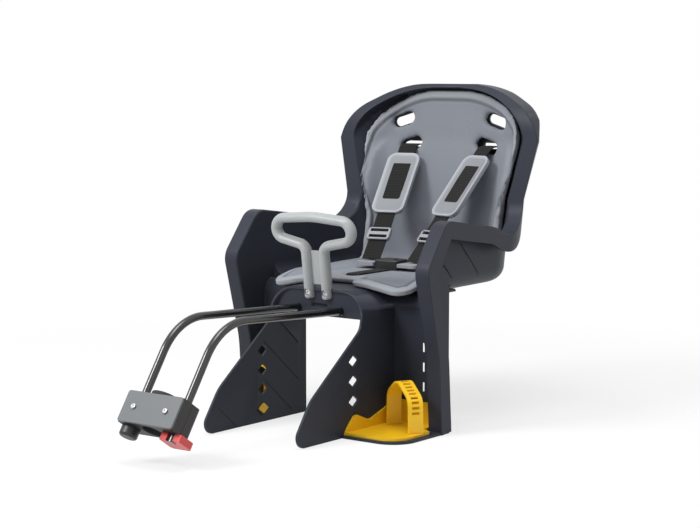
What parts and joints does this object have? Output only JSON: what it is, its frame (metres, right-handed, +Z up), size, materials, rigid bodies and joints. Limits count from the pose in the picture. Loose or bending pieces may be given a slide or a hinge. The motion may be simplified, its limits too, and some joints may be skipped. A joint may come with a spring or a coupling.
{
  "type": "child bike seat",
  "caption": "Moulded bucket seat for a child, carried behind the saddle on a bent bar with a seat tube bracket; padded, with harness, grab handle, leg guards and footrests.",
  "frame": {"origin": "on the floor under the middle of the bounding box", "axes": "+Z up, +Y rearward (the child faces -Y), +X towards the child's left"},
  "size_m": [0.3998, 0.7645, 0.523],
  "materials": {
    "shell_plastic": "satin",
    "pad_fabric": "matte",
    "handle_plastic": "satin",
    "bar_paint": "gloss",
    "bright_steel": "satin",
    "dark_cast": "matte",
    "face_alloy": "satin",
    "liner_rubber": "matte",
    "red_plastic": "gloss",
    "black_plastic": "satin",
    "grey_plastic": "satin",
    "webbing": "matte",
    "yellow_plastic": "gloss",
    "yellow_soft": "satin"
  },
  "bodies": {
    "seat": {"seat_shell": "shell_plastic", "seat_pad": "pad_fabric", "grab_handle": "handle_plastic", "handle_screws": "bright_steel", "carrier_bar": "bar_paint", "bar_clamp_plate": "bar_paint", "bar_clamp_bolts": "bright_steel", "clamp_front_jaw": "dark_cast", "clamp_rear_jaw": "dark_cast", "tube_liner_front": "liner_rubber", "tube_liner_rear": "liner_rubber", "face_plate": "face_alloy", "plate_screws": "bright_steel", "arm_end_cap": "black_plastic", "crotch_strap": "webbing", "crotch_stop": "black_plastic", "buckle_body": "grey_plastic", "button_spring": "bright_steel", "shoulder_strap_left": "webbing", "strap_stop_left": "black_plastic", "tongue_left": "grey_plastic", "footrest_left": "yellow_plastic", "foot_strap_left": "yellow_soft", "shoulder_strap_right": "webbing", "strap_stop_right": "black_plastic", "tongue_right": "grey_plastic", "footrest_right": "yellow_plastic", "foot_strap_right": "yellow_soft"},
    "lock": {"lock_slider": "red_plastic"},
    "button": {"buckle_button": "black_plastic"},
    "adjuster_left": {"strap_adjuster_left": "grey_plastic"},
    "chest_pad_left": {"shoulder_pad_left": "grey_plastic"},
    "adjuster_right": {"strap_adjuster_right": "grey_plastic"},
    "chest_pad_right": {"shoulder_pad_right": "grey_plastic"}
  },
  "joints": [
    {"name": "lock_slide", "type": "slide", "parent": "seat", "child": "lock", "axis": [0, 0.829, -0.5592], "range_m": [0, 0.005], "stiffness_N_per_m": 400},
    {"name": "button_press", "type": "slide", "parent": "seat", "child": "button", "axis": [0, 0, -1], "range_m": [0, 0.002], "stiffness_N_per_m": 600},
    {"name": "adjuster_slide_left", "type": "slide", "parent": "seat", "child": "adjuster_left", "axis": [-0.1447, -0.6453, -0.7501], "range_m": [-0.015, 0.015]},
    {"name": "chest_pad_slide_left", "type": "slide", "parent": "seat", "child": "chest_pad_left", "axis": [-0.1447, -0.6453, -0.7501], "range_m": [-0.006, 0.012]},
    {"name": "adjuster_slide_right", "type": "slide", "parent": "seat", "child": "adjuster_right", "axis": [0.1447, -0.6453, -0.7501], "range_m": [-0.015, 0.015]},
    {"name": "chest_pad_slide_right", "type": "slide", "parent": "seat", "child": "chest_pad_right", "axis": [0.1447, -0.6453, -0.7501], "range_m": [-0.006, 0.012]}
  ]
}
